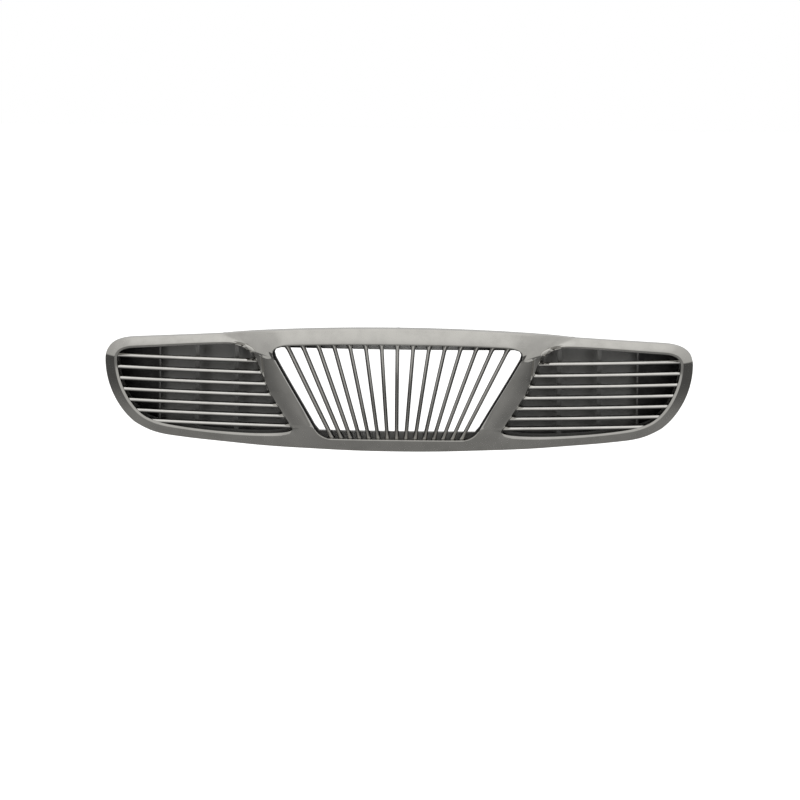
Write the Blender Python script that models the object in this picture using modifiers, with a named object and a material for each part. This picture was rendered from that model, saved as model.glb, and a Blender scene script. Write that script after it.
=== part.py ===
"""Front grille of a compact saloon car: a chromed surround with three openings, a centre insert of fanned
vertical bars, two side inserts of horizontal slats with blanking trays behind them, and the fixings.

Lengths are in metres. X runs across the car, -Y faces forward and +Z is up. Every piece is first drawn as if
the grille were flat, with Z measured from the grille's mid-height, and is then bowed back towards the tips.
The empty called datum moves the whole assembly so that the origin lies on the seat of the centre tab.
"""

import math

import bmesh
import bpy
from mathutils import Matrix, Vector
from mathutils.geometry import interpolate_bezier

# Overall sizes.
HALF_WIDTH = 0.430
TIP_SETBACK = 0.075  # how far the tips lie behind the middle
WALL = 0.003  # moulding thickness of the surround
TOUCH = 0.0003  # gap between pieces that touch
FIT = 0.0004  # side clearance of a piece that slips into another

# Heights of the outline at the middle, from mid-height.
TOP = 0.0894
BOTTOM = -0.0894

# Depths from the bowed reference surface, positive to the rear.
CROWN_FRONT = -0.008  # proud edge of the centre opening
CROWN_OUTER = 0.007  # outer edge above and below the centre opening
WING_FRONT = 0.0  # edge of a side opening
WING_OUTER = 0.012  # outer edge of a wing
CENTRE_WALL_END = 0.016
SIDE_WALL_END = 0.020
OUTER_WALL_END = 0.028
RIM_SHAPE = 1.35  # above 1 the rim starts flat at the opening and falls away outwards

# Centre insert.
BAR_COUNT = 15
BAR_PITCH_TOP = 0.0233
BAR_PITCH_BOTTOM = 0.0134
BAR_THICKNESS = 0.0056
BAR_TAIL = 0.0030
BAR_NOSE = -0.004  # depth of a bar's nose at mid-height
BAR_NOSE_BOW = 0.006  # how much further back the nose is at the bar's ends
BAR_BACK = 0.024
CENTRE_FRAME_INSET = 0.009  # how far the frame shows inside the opening at its top and bottom
CENTRE_FRAME_CHEEK = 0.002  # and at its sides
CENTRE_FRAME_DEPTH = 0.012
NOTCH_OVER = 0.002  # how far a bar's notch runs past the edge of the opening
FLANGE = WALL + 0.002  # how far an insert's frame reaches out behind the edge of its opening

# Side inserts.
SLAT_COUNT = 7
SLAT_TOP = 0.0391  # height of the top slat
SLAT_PITCH = 0.0170  # between the top two slats
SLAT_PITCH_SHRINK = 0.00054  # how much less it is at each step down
SLAT_THICKNESS = 0.0060
SLAT_TAIL = 0.0030
SLAT_NOSE = 0.003
SLAT_BACK = 0.0245
SIDE_FRAME_INSET = 0.0025
SIDE_FRAME_DEPTH = 0.008
SIDE_WALL_FLARE = 0.006  # the arm's side of a side opening leans into it by this much at the rear
RIB_PLACES = (0.235, 0.293)
RIB_WIDTH = 0.006
RIB_RECESS = 0.0005  # from the faces of the frame to the rib's

# Blanking trays behind the side slats.
TRAY_SPLIT = 0.350  # the shallow tray ends and the deep one starts here
TRAY_MARGIN = 0.002
TRAY_WALL = 0.002
TRAY_DEPTH = 0.014
END_TRAY_DEPTH = 0.022

# Screws that hold the inserts, and the bosses and ears they pass through.
SCREW_SHANK = 0.0014
SCREW_HEAD = 0.0032
SCREW_HEAD_HEIGHT = 0.0022
SCREW_LENGTH = 0.010
BOSS_RADIUS = 0.0047
BOSS_LENGTH = 0.010
BOSS_DROP = 0.0018  # how far the boss stops short of the wall round the opening
EAR_RADIUS = 0.0035
BOSS_GAP = 0.0009  # from the wall of an opening to an insert's ear
BOSS_OFFSET = WALL + BOSS_GAP + EAR_RADIUS  # from the edge of the opening to the boss's axis
EAR_THICKNESS = 0.003
CHEEK_SCREW = 3  # stations down the outer end of a side opening to its screw
ARM_SCREW = 5  # stations down the arm's side of it
CENTRE_SCREWS = ((0.120, 1), (0.070, -1))  # place across the car, and above or below the opening

# Top tabs and their push retainers.
TABS = {"centre": 0, "left": -0.252, "right": 0.252}
TAB_WIDTH = 0.030
TAB_REACH = 0.034  # past the rear edge of the outer wall
TAB_THICKNESS = 0.003
TAB_STEP = 0.0050  # how far the tab's top lies below the outer surface
TAB_RELIEF = 0.0012  # how far the underside of the tab's neck lies above its seat
TAB_EASE = 0.001  # how far behind the wall the seat begins
TAB_EMBED = 0.013
SEAT_SETBACK = 0.010  # from the rear edge of the outer wall to the datum on the tab's seat
RETAINER_SETBACK = 0.014  # from the tab's rear end to the retainer's axis
RETAINER_HEAD = 0.0085
RETAINER_HEAD_HEIGHT = 0.0010
RETAINER_SHANK = 0.0041
RETAINER_LENGTH = 0.016
RETAINER_BORE = 0.0025
RETAINER_SLIT = 0.0015
PIN_HEAD = 0.0056
PIN_HEAD_HEIGHT = 0.0008
PIN_LENGTH = 0.015

# Lower hooks.
HOOK_PLACES = (0, -0.060, 0.060)
HOOK_WIDTH = 0.016
HOOK_REACH = 0.016
HOOK_THICKNESS = 0.003
HOOK_STEP = 0.0015  # how far the hook's underside lies above the outer surface
HOOK_LIP = 0.005

# End brackets, the pockets they push into, and their spring nuts.
BRACKET_STEEL = 0.002
BRACKET_HEIGHT = 0.016
BRACKET_INSET = 0.0060  # from the tip to the middle of the bracket's leg
BRACKET_LEG = 0.040
BRACKET_FLANGE = 0.024
BRACKET_HOLE = 0.0032
BRACKET_HOLE_SETBACK = 0.0100  # from the flange's free end to the hole's axis
POCKET_WALL = 0.0026
POCKET_DEPTH = 0.011
POCKET_LENGTH = 0.013
NUT_STEEL = 0.0009
NUT_WIDTH = 0.013
NUT_REACH = 0.017
NUT_HOLE = 0.0026

CHROME = ("chrome_plating", (0.62, 0.61, 0.59), 0.06, 1.0)
DARK_CHROME = ("smoked_chrome", (0.28, 0.28, 0.27), 0.12, 1.0)
BLACK_PLASTIC = ("black_moulded_plastic", (0.03, 0.03, 0.03), 0.45, 0.0)
GREY_PLASTIC = ("grey_gloss_plastic", (0.09, 0.09, 0.09), 0.25, 0.0)
ZINC_STEEL = ("zinc_plated_steel", (0.55, 0.55, 0.52), 0.30, 1.0)
CLIP_PLASTIC = ("clip_nylon", (0.05, 0.05, 0.055), 0.50, 0.0)


# The scene: one collection for the pieces and one for the cutters.
for old in list(bpy.data.objects):
    bpy.data.objects.remove(old, do_unlink=True)
parts = bpy.data.collections.new("front_grille")
bpy.context.scene.collection.children.link(parts)
datum = bpy.data.objects.new("datum", None)
parts.objects.link(datum)


def sweep(x):
    """How far the bowed reference surface lies behind its middle."""
    return TIP_SETBACK * (x / HALF_WIDTH) ** 2


def sweep_angle(x):
    return math.atan(2 * TIP_SETBACK * x / HALF_WIDTH**2)


def material(spec):
    name, colour, roughness, metallic = spec
    made = bpy.data.materials.get(name)
    if made is None:
        made = bpy.data.materials.new(name)
        made.use_nodes = True
        shader = made.node_tree.nodes["Principled BSDF"]
        shader.inputs["Base Color"].default_value = (*colour, 1)
        shader.inputs["Roughness"].default_value = roughness
        shader.inputs["Metallic"].default_value = metallic
    return made


def piece(name, mesh, spec, location=(0, 0, 0), rotation=(0, 0, 0)):
    """A named part of the grille, parented to the datum."""
    obj = bpy.data.objects.new(name, mesh)
    obj.location = location
    obj.rotation_euler = rotation
    obj.parent = datum
    mesh.materials.clear()
    mesh.materials.append(material(spec))
    parts.objects.link(obj)
    return obj


def helper(mesh, location=(0, 0, 0), rotation=(0, 0, 0)):
    """A solid used to cut or to join, removed once it is used."""
    obj = bpy.data.objects.new("helper", mesh)
    obj.location = location
    obj.rotation_euler = rotation
    bpy.context.scene.collection.objects.link(obj)
    return obj


def settle(obj):
    """Applies the object's modifiers."""
    bpy.context.view_layer.update()
    graph = bpy.context.evaluated_depsgraph_get()
    mesh = bpy.data.meshes.new_from_object(obj.evaluated_get(graph))
    obj.modifiers.clear()
    obj.data = mesh


def combine(obj, operation, *tools):
    """Cuts, joins or intersects obj with each tool, then removes the tools."""
    for tool in tools:
        modifier = obj.modifiers.new(operation.title(), "BOOLEAN")
        modifier.operation = operation
        modifier.object = tool
        settle(obj)
        bpy.data.objects.remove(tool, do_unlink=True)
    return obj


def clean(mesh):
    """Merges the points that Booleans leave almost on top of each other."""
    work = bmesh.new()
    work.from_mesh(mesh)
    bmesh.ops.remove_doubles(work, verts=work.verts, dist=2e-6)
    bmesh.ops.dissolve_degenerate(work, edges=work.edges, dist=2e-6)
    work.to_mesh(mesh)
    work.free()


def box(low, high):
    """A box between two corners, as a mesh."""
    low, high = Vector(low), Vector(high)
    work = bmesh.new()
    bmesh.ops.create_cube(work, size=1)
    bmesh.ops.scale(work, vec=high - low, verts=work.verts)
    bmesh.ops.translate(work, vec=(low + high) / 2, verts=work.verts)
    mesh = bpy.data.meshes.new("box")
    work.to_mesh(mesh)
    work.free()
    return mesh


def rod(radius, start, end, sides=16):
    """A round rod along Y, from depth start to depth end."""
    work = bmesh.new()
    depth = end - start
    bmesh.ops.create_cone(work, cap_ends=True, segments=sides, radius1=radius, radius2=radius, depth=depth)
    bmesh.ops.rotate(work, matrix=Matrix.Rotation(math.pi / 2, 3, "X"), verts=work.verts)
    bmesh.ops.translate(work, vec=(0, (start + end) / 2, 0), verts=work.verts)
    mesh = bpy.data.meshes.new("rod")
    work.to_mesh(mesh)
    work.free()
    return mesh


def turns(loop):
    """The loop without the points that lie on a straight run."""
    kept = []
    for before, here, after in zip(loop[-1:] + loop[:-1], loop, loop[1:] + loop[:1]):
        into = (Vector(here) - Vector(before)).normalized()
        out = (Vector(after) - Vector(here)).normalized()
        if abs(into.x * out.y - into.y * out.x) > 1e-4:
            kept.append(here)
    return kept


def slab(outline, front, back):
    """A flat plate with the outline's shape in XZ, between two depths, as a mesh."""
    outline = turns(outline)
    curve = bpy.data.curves.new("slab", "CURVE")
    curve.dimensions = "2D"
    curve.fill_mode = "BOTH"
    curve.extrude = (back - front) / 2
    spline = curve.splines.new("POLY")
    spline.points.add(len(outline) - 1)
    for point, (x, z) in zip(spline.points, outline):
        point.co = (x, z, 0, 1)
    spline.use_cyclic_u = True
    shape = helper(curve, (0, (front + back) / 2, 0), (math.pi / 2, 0, 0))
    bpy.context.view_layer.update()
    graph = bpy.context.evaluated_depsgraph_get()
    mesh = bpy.data.meshes.new_from_object(shape.evaluated_get(graph))
    mesh.transform(shape.matrix_world)
    bpy.data.objects.remove(shape, do_unlink=True)
    work = bmesh.new()
    work.from_mesh(mesh)
    bmesh.ops.remove_doubles(work, verts=work.verts, dist=1e-6)
    caps = [face for face in work.faces if abs(face.normal.y) > 0.9]
    bmesh.ops.dissolve_faces(work, faces=caps)
    bmesh.ops.recalc_face_normals(work, faces=work.faces)
    work.to_mesh(mesh)
    work.free()
    return mesh


def ring(name, spec, outline, hole, front, back):
    """A flat frame between two outlines, as a piece."""
    obj = piece(name, slab(outline, front, back), spec)
    return combine(obj, "DIFFERENCE", helper(slab(hole, front - WALL, back + WALL)))


def turned(name, profile, spec, steps=16):
    """A round piece about Z from a profile of (radius, height) that runs from top to bottom."""
    mesh = bpy.data.meshes.new(name)
    points = [(radius, 0, height) for radius, height in profile]
    mesh.from_pydata(points, [(i, i + 1) for i in range(len(points) - 1)], [])
    obj = piece(name, mesh, spec)
    screw = obj.modifiers.new("Turn", "SCREW")
    screw.steps = screw.render_steps = steps
    screw.use_merge_vertices = True
    screw.merge_threshold = 1e-5
    settle(obj)
    return obj


def bow(obj, stations=24):
    """Cuts a flat-drawn piece into columns and sets each point back by the sweep at its X."""
    work = bmesh.new()
    work.from_mesh(obj.data)
    xs = [v.co.x for v in work.verts]
    low, high = min(xs), max(xs)
    step = 2 * HALF_WIDTH / stations
    place = math.ceil(low / step) * step
    while place < high:
        everything = work.verts[:] + work.edges[:] + work.faces[:]
        if place - low > 1e-4 and high - place > 1e-4:
            cut = {"plane_co": (place, 0, 0), "plane_no": (1, 0, 0)}
            bmesh.ops.bisect_plane(work, geom=everything, dist=1e-6, **cut)
        place += step
    for v in work.verts:
        v.co.y += sweep(v.co.x)
    work.to_mesh(obj.data)
    work.free()
    clean(obj.data)
    return obj


def smooth(obj):
    obj.data.shade_smooth()
    obj.data.set_sharp_from_angle(angle=math.radians(35))
    return obj


def bezier(knots, steps):
    """Points along a chain of knots, each (place, handle in, handle out), handles relative to the place."""
    points = []
    for (a, _, leave), (b, arrive, _), count in zip(knots, knots[1:], steps):
        a, b = Vector(a), Vector(b)
        run = interpolate_bezier(a, a + Vector(leave), b + Vector(arrive), b, count + 1)
        points += [(p.x, p.y) for p in run[:-1]]
    points.append(tuple(knots[-1][0]))
    return points


def mirrored(run):
    """A run from the top middle down the right side to the bottom middle, closed with its mirror image."""
    return run + [(-x, z) for x, z in reversed(run[1:-1])]


def offset(loop, distance):
    """The closed loop moved outwards by a distance, or inwards where it is negative."""
    area = sum(a[0] * b[1] - b[0] * a[1] for a, b in zip(loop, loop[1:] + loop[:1]))
    turn = 1 if area > 0 else -1
    moved = []
    for before, here, after in zip(loop[-1:] + loop[:-1], loop, loop[1:] + loop[:1]):
        into = (Vector(here) - Vector(before)).normalized()
        out = (Vector(after) - Vector(here)).normalized()
        normal = Vector((into.y + out.y, -into.x - out.x)) * turn
        normal.normalize()
        stretch = max(0.5, normal.dot(Vector((out.y, -out.x)) * turn))
        moved.append(tuple(Vector(here) + normal * distance / stretch))
    return moved


# The three outlines, for the right half and from the top middle down to the bottom middle.
# Outer outline: crown, step down to the wing, wing, tip, and the long curve back along the bottom.
OUTER_RUNS = {
    "crown": ([((0, TOP), (0, 0), (0.080, 0)), ((0.200, 0.0818), (-0.052, 0.0040), (0, 0))], [10]),
    "step": ([((0.200, 0.0818), (0, 0), (0.012, -0.0010)), ((0.236, 0.0783), (-0.012, 0.0014), (0, 0))], [3]),
    "wing": (
        [
            ((0.236, 0.0783), (0, 0), (0.012, -0.0014)),
            ((0.262, 0.0752), (-0.010, 0.0008), (0.050, -0.0040)),
            ((0.386, 0.0652), (-0.040, 0.0034), (0, 0)),
        ],
        [3, 6],
    ),
    "tip": ([((0.386, 0.0652), (0, 0), (0.030, -0.0026)), ((HALF_WIDTH, 0.032), (0, 0.020), (0, 0))], [7]),
    "cheek": ([((HALF_WIDTH, 0.032), (0, 0), (0, -0.040)), ((0.385, -0.0595), (0.024, 0.017), (0, 0))], [9]),
    "sill": (
        [
            ((0.385, -0.0595), (0, 0), (-0.030, -0.0170)),
            ((0.300, -0.0788), (0.040, 0.0038), (-0.060, -0.0040)),
            ((0.143, -0.0866), (0.040, 0.0010), (0, 0)),
        ],
        [5, 6],
    ),
    "foot": (
        [((0.143, -0.0866), (0, 0), (-0.010, -0.0003)), ((0.108, -0.0876), (0.010, 0.0003), (0, 0))],
        [3],
    ),
    "chin": ([((0.108, -0.0876), (0, 0), (-0.040, -0.0014)), ((0, BOTTOM), (0.040, 0), (0, 0))], [8]),
}
ARM_TOP = (0.1790, 0.0430)  # end of the upper corner of the centre opening
ARM_TOP_SIDE = (0.2080, 0.0500)  # start of the inner corner of a side opening
ARM_FOOT = (0.1210, -0.0555)
ARM_FOOT_SIDE = (0.1520, -0.0575)
# Inner outline, station by station against the outer one. It follows the centre opening, crosses the top of
# the arm along its crease, goes round the side opening, and comes back across the foot of the arm.
INNER_RUNS = {
    "crown": (
        [
            ((0, 0.0674), (0, 0), (0.080, 0)),
            ((0.158, 0.0636), (-0.040, 0.0020), (0.019, -0.0010)),
            (ARM_TOP, (0.0070, 0.0125), (0, 0)),
        ],
        [6, 4],
    ),
    "step": ([(ARM_TOP, (0, 0), (0.010, 0.0030)), (ARM_TOP_SIDE, (-0.010, -0.0030), (0, 0))], [3]),
    "wing": (
        [
            (ARM_TOP_SIDE, (0, 0), (0.0030, 0.0070)),
            ((0.236, 0.0630), (-0.0140, 0.0000), (0.045, -0.0010)),
            ((0.388, 0.0510), (-0.050, 0.0042), (0, 0)),
        ],
        [3, 6],
    ),
    "tip": ([((0.388, 0.0510), (0, 0), (0.0150, -0.0014)), ((0.412, 0.0330), (0, 0.0110), (0, 0))], [7]),
    "cheek": ([((0.412, 0.0330), (0, 0), (0, -0.030)), ((0.365, -0.0512), (0.028, 0.0120), (0, 0))], [9]),
    "sill": (
        [
            ((0.365, -0.0512), (0, 0), (-0.018, -0.0076)),
            ((0.311, -0.0621), (0.020, 0.0024), (-0.060, -0.0060)),
            (ARM_FOOT_SIDE, (-0.0090, -0.0130), (0, 0)),
        ],
        [5, 6],
    ),
    "foot": ([(ARM_FOOT_SIDE, (0, 0), (-0.010, 0)), (ARM_FOOT, (0.010, 0), (0, 0))], [3]),
    "chin": (
        [
            (ARM_FOOT, (0, 0), (-0.0053, -0.0095)),
            ((0.0951, -0.0708), (0.0109, 0), (-0.040, 0)),
            ((0, -0.0708), (0.040, 0), (0, 0)),
        ],
        [3, 5],
    ),
}
# The two sides of an arm: the straight side of the centre opening, and the bent side of the side opening.
ARM_SIDES = (
    [(ARM_TOP, (0, 0), (-0.0190, -0.0340)), (ARM_FOOT, (0.0190, 0.0330), (0, 0))],
    [
        (ARM_TOP_SIDE, (0, 0), (-0.0030, -0.0090)),
        ((0.1860, -0.0040), (0.0070, 0.0180), (-0.0080, -0.0140)),
        (ARM_FOOT_SIDE, (0.0090, 0.0150), (0, 0)),
    ],
)
ARM_STEPS = ([10], [5, 5])
RUN_NAMES = ("crown", "step", "wing", "tip", "cheek", "sill", "foot", "chin")


def outline_of(runs, names):
    points = []
    for name in names:
        points += bezier(*runs[name])[:-1]
    points.append(bezier(*runs[names[-1]])[-1])
    return points


OUTER_HALF = outline_of(OUTER_RUNS, RUN_NAMES)
INNER_HALF = outline_of(INNER_RUNS, RUN_NAMES)
ARM_CENTRE = bezier(ARM_SIDES[0], ARM_STEPS[0])
ARM_SIDE = bezier(ARM_SIDES[1], ARM_STEPS[1])
CENTRE_OPENING = mirrored(
    outline_of(INNER_RUNS, ("crown",))[:-1] + ARM_CENTRE[:-1] + outline_of(INNER_RUNS, ("chin",))
)
SIDE_OPENING = outline_of(INNER_RUNS, ("wing", "tip", "cheek", "sill"))[:-1] + ARM_SIDE[:0:-1]


def blend(low, high, x):
    """0 below low, 1 above high, smooth between."""
    t = min(1, max(0, (x - low) / (high - low)))
    return t * t * (3 - 2 * t)


def outer_depth(x):
    return CROWN_OUTER + (WING_OUTER - CROWN_OUTER) * blend(0.190, 0.260, abs(x))


def inner_depths():
    """Depth of each point of the inner outline: proud at the centre opening, further back at a side one."""
    depths = []
    for name in RUN_NAMES:
        count = len(bezier(*INNER_RUNS[name])) - 1
        for i in range(count):
            aside = {"crown": 0, "chin": 0, "step": i / count, "foot": 1 - i / count}.get(name, 1)
            depths.append(CROWN_FRONT + (WING_FRONT - CROWN_FRONT) * aside)
    return depths + [CROWN_FRONT]


def side_place(x, z):
    """A point of the side wall's rear edge: the wall on the arm's side leans outwards."""
    lean = 1 - blend(ARM_SIDE[len(ARM_SIDE) // 2][0] + 0.02, 0.245, x)
    return x + SIDE_WALL_FLARE * lean, z


SIDE_CLEAR = [side_place(x, z) for x, z in SIDE_OPENING]  # the side opening at the rear of its wall


def edge_height(half, x, upper):
    """Height at which a half outline crosses a place across the car, on its upper or its lower side."""
    x = abs(x)
    for (x0, z0), (x1, z1) in zip(half, half[1:]):
        if (x0 - x) * (x1 - x) <= 0 and x0 != x1 and (z0 > 0) == upper:
            return z0 + (z1 - z0) * (x - x0) / (x1 - x0)
    raise ValueError("the outline doesn't reach that far")


def mirror_x(loop):
    return [(-x, z) for x, z in loop]


# The surround.
def key(x, z):
    return round(x, 6), round(z, 6)


def surround_skin(rows=4):
    """The chromed front and its return walls, as an open sheet that faces out."""
    work = bmesh.new()
    inner = mirrored(INNER_HALF)
    outer = mirrored(OUTER_HALF)
    depths = inner_depths()
    depths += depths[-2:0:-1]
    grid = []
    for row in range(rows + 1):
        share = row / rows
        line = []
        for (x0, z0), (x1, z1), front in zip(inner, outer, depths):
            depth = front + (outer_depth(x1) - front) * share**RIM_SHAPE
            line.append(work.verts.new((x0 + (x1 - x0) * share, depth, z0 + (z1 - z0) * share)))
        grid.append(line)
    for near, far in zip(grid, grid[1:]):
        for i in range(len(inner)):
            work.faces.new((near[i - 1], near[i], far[i], far[i - 1]))
    top = bezier(*INNER_RUNS["step"])
    foot = bezier(*INNER_RUNS["foot"])[::-1]
    across = len(top) - 1
    for side in (1, -1):
        lines = []
        for row, (a, b) in enumerate(zip(ARM_CENTRE, ARM_SIDE)):
            line = []
            for column in range(across + 1):
                share = column / across
                x, z = Vector(a).lerp(Vector(b), share)
                if row == 0:
                    x, z = top[column]
                if row == len(ARM_CENTRE) - 1:
                    x, z = foot[column]
                depth = CROWN_FRONT + (WING_FRONT - CROWN_FRONT) * share
                line.append(work.verts.new((side * x, depth, z)))
            lines.append(line)
        for upper, lower in zip(lines, lines[1:]):
            for column in range(across):
                corners = (upper[column], upper[column + 1], lower[column + 1], lower[column])
                work.faces.new(corners[::-side])
    bmesh.ops.remove_doubles(work, verts=work.verts, dist=1e-6)
    bmesh.ops.recalc_face_normals(work, faces=work.faces)
    if sum(face.normal.y for face in work.faces) > 0:
        bmesh.ops.reverse_faces(work, faces=work.faces)
    edges = [edge for edge in work.edges if edge.is_boundary]
    outside = {key(*point) for point in outer}
    middle = {key(*point) for point in CENTRE_OPENING}
    made = bmesh.ops.extrude_edge_only(work, edges=edges)
    for v in made["geom"]:
        if not isinstance(v, bmesh.types.BMVert):
            continue
        place = key(v.co.x, v.co.z)
        if place in outside:
            v.co.y = OUTER_WALL_END
        elif place in middle:
            v.co.y = CENTRE_WALL_END
        else:
            x, _ = side_place(abs(v.co.x), v.co.z)
            v.co.x = math.copysign(x, v.co.x)
            v.co.y = SIDE_WALL_END
    mesh = bpy.data.meshes.new("surround")
    work.to_mesh(mesh)
    work.free()
    return mesh


def boss_places():
    """Each screw's axis (x, z), the depth of the wall it stands beside, and the insert it holds."""
    places = []
    for x, upper in CENTRE_SCREWS:
        z = edge_height(INNER_HALF, x, upper > 0) + BOSS_OFFSET * upper
        for side in (-1, 1):
            places.append((side * x, z, CENTRE_WALL_END, "centre"))
    ring_of_axes = offset(SIDE_CLEAR, BOSS_OFFSET)
    ahead = sum(len(bezier(*INNER_RUNS[name])) - 1 for name in ("wing", "tip"))
    for side, name in ((-1, "left"), (1, "right")):
        for x, z in (ring_of_axes[ahead + CHEEK_SCREW], ring_of_axes[-ARM_SCREW]):
            places.append((side * x, z, SIDE_WALL_END, name))
    return places


def tab_box(x, width, height, reach, thickness, below):
    """A plate that grows out of the top wall, or out of the bottom wall where below is 1."""
    outer = edge_height(OUTER_HALF, x, not below)
    step = TAB_STEP if not below else -HOOK_STEP - thickness
    high = outer - step
    rear = sweep(x) + OUTER_WALL_END
    return (x - width / 2, rear - height, high - thickness), (x + width / 2, rear + reach, high)


def tab_blocks(low, high):
    """A top tab in three blocks: its seat, a thinner neck over the insert's frame, and a root under the wall."""
    rear = low[1] + TAB_EMBED
    start = sweep(max(-low[0], high[0])) + OUTER_WALL_END + TAB_EASE
    seat = box((low[0], start, low[2]), high)
    under, over = low[2] + TAB_RELIEF, high[2] - TAB_RELIEF / 8
    neck = box((low[0] + TOUCH, low[1], under), (high[0] - TOUCH, start + WALL, over))
    side = TAB_WIDTH / 6
    top = high[2] + TAB_STEP - WALL / 2
    root = box((low[0] + side, low[1] + TOUCH, under + TOUCH), (high[0] - side, rear - TAB_EASE, top))
    return seat, neck, root


def surround():
    obj = piece("surround", surround_skin(), CHROME)
    wall = obj.modifiers.new("Wall", "SOLIDIFY")
    wall.thickness = WALL
    wall.offset = -1
    wall.use_even_offset = True
    settle(obj)
    for side in (-1, 1):
        seat = slab(offset(SIDE_CLEAR, FLANGE + FIT), SIDE_WALL_END, OUTER_WALL_END + WALL)
        trim = helper(seat)
        turn_over(trim, side)
        combine(obj, "DIFFERENCE", trim)
    bow(obj)
    for x, z, end, _ in boss_places():
        rear = sweep(x) + end - BOSS_DROP
        combine(obj, "UNION", helper(rod(BOSS_RADIUS, rear - BOSS_LENGTH, rear), (x, 0, z)))
        bore = rod(SCREW_SHANK + FIT, rear - BOSS_LENGTH + WALL / 2, rear + WALL, 12)
        combine(obj, "DIFFERENCE", helper(bore, (x, 0, z)))
    for x in TABS.values():
        low, high = tab_box(x, TAB_WIDTH, TAB_EMBED, TAB_REACH, TAB_THICKNESS, False)
        for block in tab_blocks(low, high):
            combine(obj, "UNION", helper(block))
        hole = rod(RETAINER_SHANK + FIT, -0.01, 0.01)
        place = (x, high[1] - RETAINER_SETBACK, low[2])
        combine(obj, "DIFFERENCE", helper(hole, place, (math.pi / 2, 0, 0)))
    for x in HOOK_PLACES:
        low, high = tab_box(x, HOOK_WIDTH, TAB_EMBED, HOOK_REACH, HOOK_THICKNESS, True)
        combine(obj, "UNION", helper(box(low, high)))
        top = high[2] - HOOK_THICKNESS / 3
        lip = box((low[0], high[1] - HOOK_THICKNESS, low[2] - HOOK_LIP), (high[0], high[1], top))
        combine(obj, "UNION", helper(lip))
    for side in (-1, 1):
        low, high = pocket_box()
        block = helper(box(low, high))
        block.scale = (side, 1, 1)
        combine(obj, "UNION", block)
        slot = helper(box(*bracket_leg(FIT)))
        slot.scale = (side, 1, 1)
        combine(obj, "DIFFERENCE", slot)
    clean(obj.data)
    return smooth(obj)


# The end brackets.
def bracket_front():
    """Depth of the front end of a bracket's leg."""
    return sweep(HALF_WIDTH - BRACKET_INSET) + OUTER_WALL_END - POCKET_DEPTH


def bracket_height():
    return OUTER_RUNS["tip"][0][1][0][1]


def bracket_leg(clearance=0.0):
    """Two corners of a bracket's leg on the right, or of the slot it pushes into."""
    middle = HALF_WIDTH - BRACKET_INSET
    half = BRACKET_STEEL / 2 + clearance
    tall = BRACKET_HEIGHT / 2 + clearance
    z = bracket_height()
    front = bracket_front()
    return (middle - half, front - clearance, z - tall), (middle + half, front + BRACKET_LEG, z + tall)


def pocket_box():
    low, high = (Vector(corner) for corner in bracket_leg(POCKET_WALL))
    rear = bracket_front() + POCKET_DEPTH
    return (low.x, rear - POCKET_LENGTH, low.z), (HALF_WIDTH - WALL + TOUCH, rear, high.z)


def bracket(side, name):
    """A folded steel angle: its leg in the surround's pocket, and a flange with a hole for the body screw."""
    low, high = bracket_leg()
    obj = piece(name, box(low, high), ZINC_STEEL)
    inner = high[0] - BRACKET_FLANGE
    flange = helper(box((inner, high[1] - BRACKET_STEEL, low[2]), high))
    combine(obj, "UNION", flange)
    hole = helper(rod(BRACKET_HOLE, -0.01, 0.01), (inner + BRACKET_HOLE_SETBACK, high[1], bracket_height()))
    combine(obj, "DIFFERENCE", hole)
    turn_over(obj, side)
    return centred(obj)


def spring_nut(side, name):
    """A U of spring steel that clips over the free end of a bracket's flange."""
    _, high = bracket_leg()
    inner = high[0] - BRACKET_FLANGE
    gap = FIT
    front = high[1] - BRACKET_STEEL - gap - NUT_STEEL
    rear = high[1] + gap + NUT_STEEL
    left = inner - gap - NUT_STEEL
    z = bracket_height()
    half = NUT_WIDTH / 2
    obj = piece(name, box((left, front, z - half), (inner + NUT_REACH, rear, z + half)), ZINC_STEEL)
    low = (left + NUT_STEEL, front + NUT_STEEL, z - NUT_WIDTH)
    space = box(low, (inner + 2 * NUT_REACH, rear - NUT_STEEL, z + NUT_WIDTH))
    combine(obj, "DIFFERENCE", helper(space))
    hole = helper(rod(NUT_HOLE, -0.02, 0.02), (inner + BRACKET_HOLE_SETBACK, high[1], z))
    combine(obj, "DIFFERENCE", hole)
    turn_over(obj, side)
    return centred(obj)


def turn_over(obj, side):
    """Turns a piece drawn for the right-hand side into its left-hand twin where side is -1."""
    if side > 0:
        return
    work = bmesh.new()
    work.from_mesh(obj.data)
    bmesh.ops.scale(work, vec=(-1, 1, 1), verts=work.verts)
    bmesh.ops.reverse_faces(work, faces=work.faces)
    work.to_mesh(obj.data)
    work.free()


def centred(obj):
    """Moves the object's own origin to the middle of its shape."""
    corners = [Vector(corner) for corner in obj.bound_box]
    middle = sum(corners, Vector()) / len(corners)
    obj.data.transform(Matrix.Translation(-middle))
    obj.location += middle
    return obj


# The centre insert.
def strip(section, low, high):
    """A straight bar with a section of (y, z) points, from one x to another."""
    work = bmesh.new()
    face = work.faces.new([work.verts.new((low, y, z)) for y, z in section])
    made = bmesh.ops.extrude_face_region(work, geom=[face])
    moved = [item for item in made["geom"] if isinstance(item, bmesh.types.BMVert)]
    bmesh.ops.translate(work, vec=(high - low, 0, 0), verts=moved)
    bmesh.ops.recalc_face_normals(work, faces=work.faces)
    mesh = bpy.data.meshes.new("strip")
    work.to_mesh(mesh)
    work.free()
    return mesh


def blade_section(thickness, tail, nose, back, steps=5):
    """A bar's section: a round nose, a shoulder behind it, and a body that thins towards its tail."""
    radius = thickness / 2
    points = []
    for i in range(steps + 1):
        angle = math.pi * (i / steps - 0.5)
        points.append((nose + radius - radius * math.cos(angle), radius * math.sin(angle)))
    return points + [(back, tail / 2), (back, -tail / 2)]


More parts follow.
